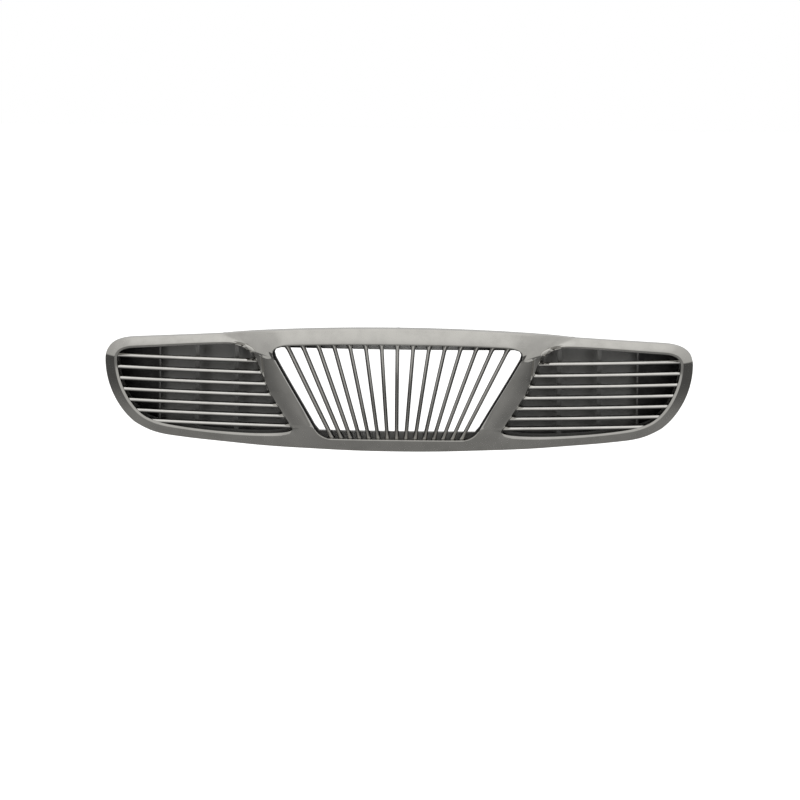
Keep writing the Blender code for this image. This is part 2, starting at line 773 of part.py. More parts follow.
def centre_frame():
    """The black carrier behind the centre opening, notched for the bars."""
    front = CENTRE_WALL_END + TOUCH
    back = front + CENTRE_FRAME_DEPTH
    low = min(z for _, z in CENTRE_OPENING) + CENTRE_FRAME_INSET
    high = max(z for _, z in CENTRE_OPENING) - CENTRE_FRAME_INSET
    sight = [(x, min(high, max(low, z))) for x, z in offset(CENTRE_OPENING, -CENTRE_FRAME_CHEEK)]
    obj = ring("centre_frame", BLACK_PLASTIC, offset(CENTRE_OPENING, FLANGE), sight, front, back)
    for place in range(BAR_COUNT):
        turn, x = bar_stance(place)
        half = BAR_THICKNESS / 2 + FIT
        foot, head = bar_span(turn, x)
        low = (-half, front - WALL, foot - NOTCH_OVER)
        notch = helper(box(low, (half, BAR_BACK + TOUCH, head + NOTCH_OVER)))
        notch.location.x = x
        notch.rotation_euler.y = turn
        combine(obj, "DIFFERENCE", notch)
    bow(obj)
    add_ears(obj, "centre", back)
    clean(obj.data)
    return smooth(obj)


def add_ears(obj, name, back):
    """Adds the ears that the screws pass through, and clears the frame behind each for the screw's head."""
    for x, z, end, insert in boss_places():
        if insert != name:
            continue
        seat = sweep(x) + end - BOSS_DROP + TOUCH
        rear = seat + EAR_THICKNESS
        combine(obj, "UNION", helper(rod(EAR_RADIUS, seat, rear), (x, 0, z)))
        combine(obj, "DIFFERENCE", helper(rod(SCREW_HEAD + 2 * FIT, rear, rear + back), (x, 0, z)))
        combine(obj, "DIFFERENCE", helper(rod(SCREW_SHANK + FIT, seat - 0.01, rear + 0.01, 12), (x, 0, z)))


def bar_span(turn, x):
    """How far along its own length a bar's axis meets the bottom and the top of the opening."""
    along = Vector((math.sin(turn), math.cos(turn)))
    found = []
    for a, b in zip(CENTRE_OPENING, CENTRE_OPENING[1:] + CENTRE_OPENING[:1]):
        a, b = Vector(a) - Vector((x, 0)), Vector(b) - Vector((x, 0))
        before, after = a.x * along.y - a.y * along.x, b.x * along.y - b.y * along.x
        if before * after <= 0 and before != after:
            found.append(a.lerp(b, before / (before - after)).dot(along))
    return min(found), max(found)


def bar_reach():
    """Half the length of a bar before it is trimmed: enough for the most slanted one."""
    return max(abs(z) for _, z in CENTRE_OPENING) * 1.15


def bar_stance(place):
    """A bar's turn about Y and its x at mid-height."""
    step = place - (BAR_COUNT - 1) / 2
    high = max(z for _, z in CENTRE_OPENING)
    low = min(z for _, z in CENTRE_OPENING)
    top, bottom = step * BAR_PITCH_TOP, step * BAR_PITCH_BOTTOM
    lean = (top - bottom) / (high - low)
    return math.atan(lean), bottom - low * lean


def bar(place):
    """A fanned bar: bowed back at its ends, and trimmed to the opening it stands in."""
    turn, x = bar_stance(place)
    reach = bar_reach()
    mesh = strip(blade_section(BAR_THICKNESS, BAR_TAIL, BAR_NOSE, BAR_BACK), -reach, reach)
    mesh.transform(Matrix.Rotation(-math.pi / 2, 4, "Y"))
    work = bmesh.new()
    work.from_mesh(mesh)
    for i in range(-3, 4):
        everything = work.verts[:] + work.edges[:] + work.faces[:]
        bmesh.ops.bisect_plane(work, geom=everything, plane_co=(0, 0, i * reach / 4), plane_no=(0, 0, 1))
    for v in work.verts:
        if v.co.y < BAR_NOSE + BAR_THICKNESS:
            v.co.y += BAR_NOSE_BOW * (v.co.z / reach) ** 2
    bmesh.ops.rotate(work, matrix=Matrix.Rotation(turn, 3, "Y"), verts=work.verts)
    bmesh.ops.translate(work, vec=(x, 0, 0), verts=work.verts)
    work.to_mesh(mesh)
    work.free()
    obj = piece(f"bar_{place + 1:02d}", mesh, CHROME)
    room = slab(offset(CENTRE_OPENING, -FIT), BAR_NOSE - 0.02, BAR_BACK + 0.02)
    combine(obj, "INTERSECT", helper(room))
    bow(obj)
    return centred(smooth(obj))


# The side inserts. Each is drawn for the right-hand side and turned over for the left.
def slat_height(place):
    """Height of a slat. They stand closer together towards the bottom."""
    return SLAT_TOP - place * SLAT_PITCH + place * (place - 1) / 2 * SLAT_PITCH_SHRINK


def rear_of_side_frame():
    return SIDE_WALL_END + TOUCH + SIDE_FRAME_DEPTH


def side_frame(side, name):
    """The black carrier behind a side opening, with two ribs, notched for the slats."""
    front = SIDE_WALL_END + TOUCH
    back = rear_of_side_frame()
    edge, sight = offset(SIDE_CLEAR, FLANGE), offset(SIDE_CLEAR, -SIDE_FRAME_INSET)
    obj = ring(name + "_side_frame", BLACK_PLASTIC, edge, sight, front, back)
    inset = offset(SIDE_CLEAR, -SIDE_FRAME_INSET / 2)
    for x in RIB_PLACES:
        high = edge_height(INNER_HALF, x, True)
        low = edge_height(INNER_HALF, x, False)
        near, far = front + RIB_RECESS, back - RIB_RECESS
        rib = helper(box((x - RIB_WIDTH / 2, near, low), (x + RIB_WIDTH / 2, far, high)))
        combine(rib, "INTERSECT", helper(slab(inset, front - 0.01, back + 0.01)))
        combine(obj, "UNION", rib)
    for place in range(SLAT_COUNT):
        z = slat_height(place)
        half = SLAT_THICKNESS / 2 + FIT
        notch = helper(box((0, front - 0.01, z - half), (HALF_WIDTH, SLAT_BACK + TOUCH, z + half)))
        combine(notch, "INTERSECT", helper(slab(offset(SIDE_CLEAR, 1e-4), front - 0.02, back + 0.02)))
        combine(obj, "DIFFERENCE", notch)
    bow(obj)
    turn_over(obj, side)
    add_ears(obj, name, back)
    clean(obj.data)
    return smooth(obj)


def slat(side, name, place):
    """A slat: trimmed to the opening it crosses."""
    blade = blade_section(SLAT_THICKNESS, SLAT_TAIL, SLAT_NOSE, SLAT_BACK)
    section = [(y, z + slat_height(place)) for y, z in blade]
    obj = piece(f"{name}_slat_{place + 1}", strip(section, ARM_FOOT[0], HALF_WIDTH), CHROME)
    room = slab(offset(SIDE_CLEAR, -FIT), SLAT_NOSE - 0.02, SLAT_BACK + 0.02)
    combine(obj, "INTERSECT", helper(room))
    bow(obj)
    turn_over(obj, side)
    return centred(smooth(obj))


def tray(side, name, low, high, depth):
    """A blanking tray: a shallow box, open to the front, between two places across the car."""
    front = rear_of_side_frame() + TOUCH
    obj = piece(name, slab(offset(SIDE_CLEAR, TRAY_MARGIN), front, front + depth), BLACK_PLASTIC)
    combine(obj, "INTERSECT", helper(box((low, 0, -0.2), (high, 0.2, 0.2))))
    room = helper(slab(offset(SIDE_CLEAR, TRAY_MARGIN - TRAY_WALL), front - 0.01, front + depth - TRAY_WALL))
    combine(room, "INTERSECT", helper(box((low + TRAY_WALL, -0.2, -0.2), (high - TRAY_WALL, 0.2, 0.2))))
    combine(obj, "DIFFERENCE", room)
    bow(obj)
    turn_over(obj, side)
    return centred(smooth(obj))


# The fixings.
def screw(name, x, z, end):
    """A pan-head screw, driven from behind."""
    seat = sweep(x) + end - BOSS_DROP + 2 * TOUCH + EAR_THICKNESS
    crown = SCREW_HEAD_HEIGHT
    profile = (
        (0, crown),
        (SCREW_HEAD * 0.6, crown * 0.9),
        (SCREW_HEAD * 0.92, crown * 0.5),
        (SCREW_HEAD, 0),
        (SCREW_SHANK, 0),
        (SCREW_SHANK, SCREW_SHANK - SCREW_LENGTH),
        (0, -SCREW_LENGTH),
    )
    obj = turned(name, profile, ZINC_STEEL, 14)
    obj.rotation_euler.x = -math.pi / 2
    obj.location = (x, seat, z)
    return smooth(obj)


def retainer(label, x):
    """A push retainer in a top tab: a split body, and the pin that spreads it."""
    low, high = tab_box(x, TAB_WIDTH, TAB_EMBED, TAB_REACH, TAB_THICKNESS, False)
    seat = Vector((x, high[1] - RETAINER_SETBACK, high[2] + TOUCH))
    body = (
        (RETAINER_BORE, RETAINER_HEAD_HEIGHT),
        (RETAINER_HEAD * 0.9, RETAINER_HEAD_HEIGHT),
        (RETAINER_HEAD, RETAINER_HEAD_HEIGHT * 0.5),
        (RETAINER_HEAD, 0),
        (RETAINER_SHANK, 0),
        (RETAINER_SHANK, -RETAINER_LENGTH * 0.75),
        (RETAINER_SHANK * 0.8, -RETAINER_LENGTH),
        (RETAINER_BORE, -RETAINER_LENGTH),
        (RETAINER_BORE, RETAINER_HEAD_HEIGHT),
    )
    obj = turned(label + "_retainer", body, CLIP_PLASTIC)
    slit = box((-RETAINER_HEAD, -0.5, -2 * RETAINER_LENGTH), (RETAINER_HEAD, 0.5, -RETAINER_LENGTH / 2))
    slit.transform(Matrix.Diagonal((1, RETAINER_SLIT, 1, 1)))
    combine(obj, "DIFFERENCE", helper(slit))
    obj.location = seat
    smooth(obj)
    shank = RETAINER_BORE - FIT
    pin = (
        (0, PIN_HEAD_HEIGHT),
        (PIN_HEAD * 0.85, PIN_HEAD_HEIGHT),
        (PIN_HEAD, PIN_HEAD_HEIGHT * 0.5),
        (PIN_HEAD, 0),
        (shank, 0),
        (shank, -PIN_LENGTH),
        (0, -PIN_LENGTH - shank / 2),
    )
    obj = turned(label + "_retainer_pin", pin, CLIP_PLASTIC)
    obj.location = seat + Vector((0, 0, RETAINER_HEAD_HEIGHT + TOUCH))
    return smooth(obj)


surround()
centre_frame()
for number in range(BAR_COUNT):
    bar(number)
for hand, label in ((-1, "left"), (1, "right")):
    side_frame(hand, label)
    for number in range(SLAT_COUNT):
        slat(hand, label, number)
    arm_side = min(x for x, _ in SIDE_CLEAR) - 0.05
    tray(hand, label + "_tray", arm_side, TRAY_SPLIT - TOUCH / 2, TRAY_DEPTH)
    tray(hand, label + "_end_tray", TRAY_SPLIT + TOUCH / 2, HALF_WIDTH, END_TRAY_DEPTH)
    bracket(hand, label + "_bracket")
    spring_nut(hand, label + "_spring_nut")
for insert in ("centre", "left", "right"):
    for number, (x, z, end, _) in enumerate(place for place in boss_places() if place[3] == insert):
        screw(f"{insert}_screw_{number + 1}", x, z, end)
for label, x in TABS.items():
    retainer(label, x)

# The origin is on the underside of the centre tab.
corner, _ = tab_box(0, TAB_WIDTH, TAB_EMBED, TAB_REACH, TAB_THICKNESS, False)
datum.location = (0, -OUTER_WALL_END - SEAT_SETBACK, -corner[2])
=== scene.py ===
import math

import bmesh
import bpy
from mathutils import Matrix, Vector
from mathutils.geometry import interpolate_bezier


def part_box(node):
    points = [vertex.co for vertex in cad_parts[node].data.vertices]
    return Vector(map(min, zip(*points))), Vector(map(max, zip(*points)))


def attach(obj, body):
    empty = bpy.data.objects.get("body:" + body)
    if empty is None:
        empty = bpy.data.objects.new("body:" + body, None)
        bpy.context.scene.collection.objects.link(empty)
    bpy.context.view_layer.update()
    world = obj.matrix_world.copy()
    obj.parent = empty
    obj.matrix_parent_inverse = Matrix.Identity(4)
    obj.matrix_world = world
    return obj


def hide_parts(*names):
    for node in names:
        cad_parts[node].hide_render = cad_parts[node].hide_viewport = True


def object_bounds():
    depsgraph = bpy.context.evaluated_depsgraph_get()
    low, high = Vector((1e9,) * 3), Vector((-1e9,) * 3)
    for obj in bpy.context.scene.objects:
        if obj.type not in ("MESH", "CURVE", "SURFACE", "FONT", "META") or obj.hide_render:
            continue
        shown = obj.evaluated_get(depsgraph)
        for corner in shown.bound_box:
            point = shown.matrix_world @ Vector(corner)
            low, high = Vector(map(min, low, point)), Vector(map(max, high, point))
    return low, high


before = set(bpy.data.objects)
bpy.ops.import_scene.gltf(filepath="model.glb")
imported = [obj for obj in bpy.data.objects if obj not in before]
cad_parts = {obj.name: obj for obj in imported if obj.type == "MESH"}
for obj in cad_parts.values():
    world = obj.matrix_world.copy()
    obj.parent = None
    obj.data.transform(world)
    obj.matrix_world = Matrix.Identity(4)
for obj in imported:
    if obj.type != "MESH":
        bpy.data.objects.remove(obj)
cad_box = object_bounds()

# ---------------------------------------------------------------------------------------------------------
# Surround. One injection-moulded ABS shell with a centre opening and two side openings, electroplated with
# bright chrome over copper and nickel. It is bowed back to its tips and hollow from behind.
SURROUND_LOW, SURROUND_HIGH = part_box("surround")
HALF_WIDTH = (SURROUND_HIGH[0] - SURROUND_LOW[0]) / 2
CROWN_TOP = 0.0894  # height of the crown above mid-height
MID_HEIGHT = SURROUND_HIGH[2] - CROWN_TOP
CROWN_PROUD = 0.008  # how far the edge of the centre opening stands in front of the bowed reference surface
MID_FRONT = SURROUND_LOW[1] + CROWN_PROUD
TIP_SETBACK = 0.075
WALL = 0.003
CROWN_FALL = 0.007  # depth of the outer edge at the crown
WING_FALL = 0.012  # and along a wing
CENTRE_WALL_END = 0.016
SIDE_WALL_END = 0.020
OUTER_WALL_END = 0.028
SIDE_WALL_FLARE = 0.006
SIDE_LIP = 0.0030  # how far the lip round a side opening is set back
LIP_SHARE = 0.22  # share of the rim's width that the lip takes up
FOOT_PROUD = 0.0011
EDGE_ROLL = 0.0008  # how far the face turns back at the edge of the centre opening
ROWS = (0, 0.07, 0.14, 0.21, 0.28, 0.40, 0.52, 0.64, 0.76, 0.88, 1)  # places across the rim, edge to edge
EAR_PLACE, EAR_SIZE, EAR_PROUD = (0.2210, 0.0665), (0.0125, 0.0065), 0.0015  # raised pad at the top of an arm
DENSITY = 4


def bowed(x, depth, z):
    """A point of the grille in the row's frame, from its place on the flat drawing and its depth."""
    return Vector((x, MID_FRONT + depth + TIP_SETBACK * (x / HALF_WIDTH) ** 2, MID_HEIGHT + z))


def curve_points(knots, steps):
    """Points along a chain of knots, each (place, handle in, handle out), handles relative to the place."""
    points = []
    for (a, _, leave), (b, arrive, _), count in zip(knots, knots[1:], steps):
        a, b = Vector(a), Vector(b)
        run = interpolate_bezier(a, a + Vector(leave), b + Vector(arrive), b, count * DENSITY + 1)
        points += [Vector((p.x, p.y)) for p in run[:-1]]
    return points


OUTER_EDGE = (
    ((0, CROWN_TOP), (0, 0), (0.080, 0)),
    ((0.200, 0.0818), (-0.052, 0.0040), (0.012, -0.0010)),
    ((0.236, 0.0783), (-0.012, 0.0014), (0.012, -0.0014)),
    ((0.262, 0.0752), (-0.010, 0.0008), (0.050, -0.0040)),
    ((0.386, 0.0652), (-0.040, 0.0034), (0.030, -0.0026)),
    ((HALF_WIDTH, 0.032), (0, 0.020), (0, -0.040)),
    ((0.385, -0.0595), (0.024, 0.017), (-0.030, -0.0170)),
    ((0.300, -0.0788), (0.040, 0.0038), (-0.060, -0.0040)),
    ((0.143, -0.0866), (0.040, 0.0010), (-0.010, -0.0003)),
    ((0.108, -0.0876), (0.010, 0.0003), (-0.040, -0.0014)),
    ((0, -CROWN_TOP), (0.040, 0), (0, 0)),
)
ARM_TOP, ARM_TOP_SIDE = (0.1790, 0.0430), (0.2080, 0.0500)
ARM_FOOT, ARM_FOOT_SIDE = (0.1210, -0.0555), (0.1520, -0.0575)
# Inner edges, run by run: the knots, the steps, and where the run ends on the outer edge.
INNER_RUNS = (
    (
        "crown",
        (
            ((0, 0.0674), (0, 0), (0.080, 0)),
            ((0.158, 0.0636), (-0.040, 0.0020), (0.019, -0.0010)),
            (ARM_TOP, (0.0070, 0.0125), (0, 0)),
        ),
        (6, 4),
        (0.214, 1),
    ),
    (
        "step",
        ((ARM_TOP, (0, 0), (0.010, 0.0030)), (ARM_TOP_SIDE, (-0.010, -0.0030), (0, 0))),
        (3,),
        (0.240, 1),
    ),
    (
        "wing",
        (
            (ARM_TOP_SIDE, (0, 0), (0.0030, 0.0070)),
            ((0.236, 0.0630), (-0.0140, 0.0000), (0.045, -0.0010)),
            ((0.388, 0.0510), (-0.050, 0.0042), (0, 0)),
        ),
        (3, 6),
        (0.386, 1),
    ),
    (
        "tip",
        (((0.388, 0.0510), (0, 0), (0.0150, -0.0014)), ((0.412, 0.0330), (0, 0.0110), (0, 0))),
        (7,),
        (0.430, 1),
    ),
    (
        "cheek",
        (((0.412, 0.0330), (0, 0), (0, -0.030)), ((0.365, -0.0512), (0.028, 0.0120), (0, 0))),
        (9,),
        (0.385, -1),
    ),
    (
        "sill",
        (
            ((0.365, -0.0512), (0, 0), (-0.018, -0.0076)),
            ((0.311, -0.0621), (0.020, 0.0024), (-0.060, -0.0060)),
            (ARM_FOOT_SIDE, (-0.0090, -0.0130), (0, 0)),
        ),
        (5, 6),
        (0.140, -1),
    ),
    ("foot", ((ARM_FOOT_SIDE, (0, 0), (-0.010, 0)), (ARM_FOOT, (0.010, 0), (0, 0))), (3,), (0.112, -1)),
    (
        "chin",
        (
            (ARM_FOOT, (0, 0), (-0.0053, -0.0095)),
            ((0.0951, -0.0708), (0.0109, 0), (-0.040, 0)),
            ((0, -0.0708), (0.040, 0), (0, 0)),
        ),
        (3, 5),
        (0, -1),
    ),
)
ARM_SIDES = (
    ((ARM_TOP, (0, 0), (-0.0190, -0.0340)), (ARM_FOOT, (0.0190, 0.0330), (0, 0))),
    (
        (ARM_TOP_SIDE, (0, 0), (-0.0030, -0.0090)),
        ((0.1860, -0.0040), (0.0070, 0.0180), (-0.0080, -0.0140)),
        (ARM_FOOT_SIDE, (0.0090, 0.0150), (0, 0)),
    ),
)
ARM_STEPS = ((10,), (5, 5))


def along(polyline, start, end, count):
    """count points spaced evenly along a polyline, from one of its distances to another, without the last."""
    lengths = [0.0]
    for a, b in zip(polyline, polyline[1:]):
        lengths.append(lengths[-1] + (b - a).length)
    points = []
    segment = 0
    for i in range(count):
        target = start + (end - start) * i / count
        while segment < len(polyline) - 2 and lengths[segment + 1] < target:
            segment += 1
        span = lengths[segment + 1] - lengths[segment]
        points.append(polyline[segment].lerp(polyline[segment + 1], (target - lengths[segment]) / span))
    return points


def distance_at(polyline, x, upper):
    """How far along the outer edge a place across the grille lies, on its upper or its lower side."""
    far = 0.0
    for a, b in zip(polyline, polyline[1:]):
        if (a.x - x) * (b.x - x) <= 0 and a.x != b.x and (a.y > 0) == (upper > 0):
            return far + (b - a).length * abs(x - a.x) / abs(b.x - a.x)
        far += (b - a).length
    return far


def smooth_step(low, high, value):
    t = min(1, max(0, (value - low) / (high - low)))
    return t * t * (3 - 2 * t)


def foot_relief(share):
    """How far the foot of an arm stands proud, at a place across it."""
    return FOOT_PROUD * smooth_step(0, 0.1, share) * smooth_step(0, 0.1, 1 - share)


class Station:
    """One line across the rim, from the edge of an opening to the outer edge."""

    def __init__(self, run, share, inner, outer):
        self.run, self.share, self.inner, self.outer = run, share, inner, outer
        aside = {"crown": 0, "chin": 0, "step": share, "foot": 1 - share}.get(run, 1)
        self.front = -CROWN_PROUD * (1 - aside)
        self.fall = CROWN_FALL + (WING_FALL - CROWN_FALL) * smooth_step(0.190, 0.260, outer.x)
        # The foot of an arm runs down to the bottom edge, a little proud of the bands on both sides of it.
        self.proud = foot_relief(share) if run == "foot" else 0
        beside = {"wing": share * 5, "sill": (1 - share) * 5, "tip": 1, "cheek": 1}.get(run, 0)
        self.lip = SIDE_LIP * min(1, beside)
        self.roll = EDGE_ROLL * min(1, {"crown": (1 - share) * 6, "chin": share * 6}.get(run, 0))
        self.shape = 1.15 if run in ("crown", "step") else 1.35

    def point(self, t):
        flat = self.inner.lerp(self.outer, t)
        depth = self.front + (self.fall - self.front) * t**self.shape - self.proud * min(1, (1 - t) * 8)
        depth += self.lip * (1 - smooth_step(0, LIP_SHARE, t))
        depth += self.roll * max(0, 1 - t / ROWS[1])
        ear = ((flat.x - EAR_PLACE[0]) / EAR_SIZE[0]) ** 2 + ((flat.y - EAR_PLACE[1]) / EAR_SIZE[1]) ** 2
        return flat.x, depth - EAR_PROUD * math.exp(-ear * 2), flat.y


outer_line = curve_points(OUTER_EDGE, [10, 3, 3, 6, 7, 9, 5, 6, 3, 8]) + [Vector((0, -CROWN_TOP))]
stations = []
start = 0.0
for run, knots, steps, (outer_x, upper) in INNER_RUNS:
    inner_points = curve_points(knots, steps)
    if run == "tip":
        outer_x = HALF_WIDTH - 1e-6
    end = distance_at(outer_line, outer_x, upper)
    outer_points = along(outer_line, start, end, len(inner_points))
    for i, (a, b) in enumerate(zip(inner_points, outer_points)):
        stations.append(Station(run, i / len(inner_points), a, b))
    start = end
stations.append(Station("chin", 1, Vector((0, -0.0708)), Vector((0, -CROWN_TOP))))
# A fine groove parts off the arm's outer facet. It runs into the side opening a third of the way down.
GROOVE_TOP, GROOVE_DRIFT, GROOVE_END = 0.62, 1.09, 0.33
GROOVE_HALF, GROOVE_DEPTH, FACET_DROP = 0.045, 0.0026, 0.0004


def arm_shares(row):
    """Places across the arm, from the centre opening, with three of them for the groove."""
    groove = min(GROOVE_TOP + GROOVE_DRIFT * row, 0.95)
    near, far = groove - GROOVE_HALF, groove + GROOVE_HALF
    return [near * i / 6 for i in range(7)] + [groove] + [far + (1 - far) * i / 4 for i in range(5)]


def arm_depth(row, column, place):
    """Depth of an arm's face: it turns back a little towards the side opening, and carries the groove."""
    depth = -CROWN_PROUD * (1 - place) - 0.0010 * math.sin(math.pi * place)
    strength = smooth_step(0, 0.04, row) * (1 - smooth_step(GROOVE_END - 0.06, GROOVE_END, row))
    if column == 7:
        depth += GROOVE_DEPTH * strength
    elif column > 7:
        depth += FACET_DROP * strength * (12 - column) / 4
    return depth - foot_relief(place) * smooth_step(0.5, 1, row)


def surround_mesh():
    work = bmesh.new()
    for side in (1, -1):
        grid = []
        for station in stations:
            line = []
            for t in ROWS:
                x, depth, z = station.point(t)
                line.append(work.verts.new((side * x, depth, z)))
            grid.append(line)
        for a, b in zip(grid, grid[1:]):
            for i in range(len(ROWS) - 1):
                work.faces.new((a[i], b[i], b[i + 1], a[i + 1])[::side])
        first = {run: next(i for i, s in enumerate(stations) if s.run == run) for run, *_ in INNER_RUNS}
        top = [station.inner for station in stations[first["step"] : first["wing"] + 1]]
        foot = [station.inner for station in stations[first["foot"] : first["chin"] + 1]][::-1]
        centre_side = curve_points(ARM_SIDES[0], ARM_STEPS[0]) + [Vector(ARM_FOOT)]
        outer_side = curve_points(ARM_SIDES[1], ARM_STEPS[1]) + [Vector(ARM_FOOT_SIDE)]
        lines = []
        last = len(centre_side) - 1
        for row, (a, b) in enumerate(zip(centre_side, outer_side)):
            line = []
            if row in (0, last):
                points = top if row == 0 else foot
                shares = [i / (len(points) - 1) for i in range(len(points))]
            else:
                shares = arm_shares(row / last)
                points = [a.lerp(b, share) for share in shares]
            for column, (share, flat) in enumerate(zip(shares, points)):
                depth = -CROWN_PROUD * (1 - share) - (foot_relief(share) if row == last else 0)
                if 0 < row < last:
                    depth = arm_depth(row / last, column, share)
                line.append(work.verts.new((side * flat.x, depth, flat.y)))
            lines.append(line)
        for a, b in zip(lines, lines[1:]):
            for i in range(len(top) - 1):
                work.faces.new((a[i], a[i + 1], b[i + 1], b[i])[::-side])
    bmesh.ops.remove_doubles(work, verts=work.verts, dist=1e-6)
    bmesh.ops.recalc_face_normals(work, faces=work.faces)
    if sum(face.normal.y for face in work.faces) > 0:
        bmesh.ops.reverse_faces(work, faces=work.faces)
    rim = [edge for edge in work.edges if edge.is_boundary]
    outer_keys = {(round(s.outer.x, 5), round(s.outer.y, 5)) for s in stations}
    centre_keys = {(round(s.inner.x, 5), round(s.inner.y, 5)) for s in stations if s.run in ("crown", "chin")}
    centre_keys |= {(round(p.x, 5), round(p.y, 5)) for p in curve_points(ARM_SIDES[0], ARM_STEPS[0])}
    centre_keys |= {(round(x, 5), round(z, 5)) for x, z in (ARM_TOP, ARM_FOOT)}
    made = bmesh.ops.extrude_edge_only(work, edges=rim)
    for v in made["geom"]:
        if not isinstance(v, bmesh.types.BMVert):
            continue
        place = (round(abs(v.co.x), 5), round(v.co.z, 5))
        if place in outer_keys:
            v.co.y = OUTER_WALL_END
        elif place in centre_keys:
            v.co.y = CENTRE_WALL_END
        else:
            v.co.x += math.copysign(SIDE_WALL_FLARE * (1 - smooth_step(0.206, 0.245, abs(v.co.x))), v.co.x)
            v.co.y = SIDE_WALL_END
    mesh = bpy.data.meshes.new("surround_shell")
    work.to_mesh(mesh)
    work.free()
    return mesh


def add_piece(name, mesh, material, replaces=()):
    """Puts a piece in the scene, riding on the grille's one body."""
    obj = bpy.data.objects.new(name, mesh)
    bpy.context.scene.collection.objects.link(obj)
    mesh.materials.clear()
    mesh.materials.append(material)
    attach(obj, "root")
    if replaces:
        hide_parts(*replaces)
    return obj


def apply_modifiers(obj):
    bpy.context.view_layer.update()
    graph = bpy.context.evaluated_depsgraph_get()
    mesh = bpy.data.meshes.new_from_object(obj.evaluated_get(graph))
    obj.modifiers.clear()
    obj.data = mesh


def bow_mesh(mesh):
    for v in mesh.vertices:
        v.co = bowed(*v.co)


def round_edges(obj, width, segments=3, angle=25):
    """Rounds every edge sharper than the angle."""
    bevel = obj.modifiers.new("Round", "BEVEL")
    bevel.width = width
    bevel.segments = segments
    bevel.limit_method = "ANGLE"
    bevel.angle_limit = math.radians(angle)
    bevel.harden_normals = False
    apply_modifiers(obj)


def shade(obj, angle=32):
    obj.data.shade_smooth()
    obj.data.set_sharp_from_angle(angle=math.radians(angle))


class Socket:
    """A shader socket that takes part in Python expressions."""

    def __init__(self, material, socket):
        self.material, self.socket = material, socket

    def maths(self, operation, *values):
        return self.material.node("ShaderNodeMath", {"operation": operation}, dict(enumerate(values)))

    def __add__(self, other):
        return self.maths("ADD", self, other)

    __radd__ = __add__

    def __mul__(self, other):
        return self.maths("MULTIPLY", self, other)

    __rmul__ = __mul__

    def __sub__(self, other):
        return self.maths("SUBTRACT", self, other)

    def __rsub__(self, other):
        return self.maths("SUBTRACT", other, self)

    def __pow__(self, other):
        return self.maths("POWER", self, other)

    def above(self, low, high):
        """0 under low, 1 over high."""
        settings = {"interpolation_type": "SMOOTHSTEP"}
        inputs = {"Value": self, "From Min": low, "From Max": high}
        return self.material.node("ShaderNodeMapRange", settings, inputs)


class Finish:
    """A material with one Principled shader, and a short way to add nodes to it."""

    def __init__(self, name):
        self.material = bpy.data.materials.new(name)
        self.material.use_nodes = True
        self.tree = self.material.node_tree
        self.shader = self.tree.nodes["Principled BSDF"]

    def node(self, kind, settings=None, inputs=None, output=0):
        made = self.tree.nodes.new(kind)
        for key, value in (settings or {}).items():
            setattr(made, key, value)
        for key, value in (inputs or {}).items():
            self.feed(made.inputs[key], value)
        return Socket(self, made.outputs[output])

    def feed(self, socket, value):
        if isinstance(value, Socket):
            self.tree.links.new(value.socket, socket)
        else:
            socket.default_value = value

    def set(self, **values):
        for key, value in values.items():
            self.feed(self.shader.inputs[key.replace("_", " ")], value)

    def place(self):
        return self.node("ShaderNodeTexCoord", output=3)

    def noise(self, scale, detail=3.0, roughness=0.55, vector=None, output=0):
        inputs = {"Scale": scale, "Detail": detail, "Roughness": roughness, "Vector": vector or self.place()}
        return self.node("ShaderNodeTexNoise", {}, inputs, output)

    def mix(self, factor, a, b):
        made = self.tree.nodes.new("ShaderNodeMix")
        made.data_type = "RGBA"
        self.feed(made.inputs[0], factor)
        self.feed(made.inputs[6], a)
        self.feed(made.inputs[7], b)
        return Socket(self, made.outputs[2])

    def stretch(self, x, y, z):
        """The object's own coordinates, scaled along each axis, for marks that run one way."""
        settings = {"operation": "MULTIPLY"}
        return self.node("ShaderNodeVectorMath", settings, {0: self.place(), 1: (x, y, z)})

    def bump(self, height, strength, distance, normal=None):
        inputs = {"Height": height, "Strength": strength, "Distance": distance}
        if normal:
            inputs["Normal"] = normal
        return self.node("ShaderNodeBump", {}, inputs)


def chrome(name, tint, base_roughness, sink=None):
    """Bright plating over moulded plastic: faint ripple, haze from handling, hairline wiping marks and dust.

    Between the two values of sink it darkens, a stand-in for the dark surroundings that a blade's sides mirror.
    """
    finish = Finish(name)
    haze = finish.noise(38, 5, 0.6)
    wiping = finish.noise(1.0, 4, 0.7, finish.stretch(90, 900, 1400))
    dust = finish.noise(900, 2, 0.5).above(0.66, 0.74)
    cloud = finish.noise(9, 3, 0.5)
    dull = tuple(c * 0.86 for c in tint[:3]) + (1,)
    colour = finish.mix(haze.above(0.35, 0.8), tint, dull)
    colour = finish.mix(dust * 0.35, colour, (0.52, 0.50, 0.46, 1))
    roughness = haze.above(0.3, 0.85) * 0.04 + wiping.above(0.45, 0.9) * 0.04 + dust * 0.25 + base_roughness
    if sink:
        # Painted reflection: the plating is painted darker between the two sink values, standing in for the
        # dark surroundings mirrored there.
        behind = finish.node("ShaderNodeAttribute", {"attribute_name": "sink"}, output=2).above(*sink)
        colour = finish.mix(behind, colour, (0.035, 0.034, 0.033, 1))
        roughness = roughness + behind * 0.25
    ripple = finish.bump(cloud, 0.2, 0.0006)
    finish.set(
        Base_Color=colour,
        Metallic=1.0,
        Roughness=roughness,
        Normal=finish.bump(wiping, 0.05, 0.00004, ripple),
    )
    return finish.material


bright_chrome = chrome("surround_chrome", (0.60, 0.59, 0.565, 1), 0.05)

shell = add_piece("surround_shell", surround_mesh(), bright_chrome, ["surround"])
thickness = shell.modifiers.new("Wall", "SOLIDIFY")
thickness.thickness = WALL
thickness.offset = -1
thickness.use_even_offset = False
apply_modifiers(shell)
round_edges(shell, 0.0011, 3, 28)
bow_mesh(shell.data)
shade(shell, 28)


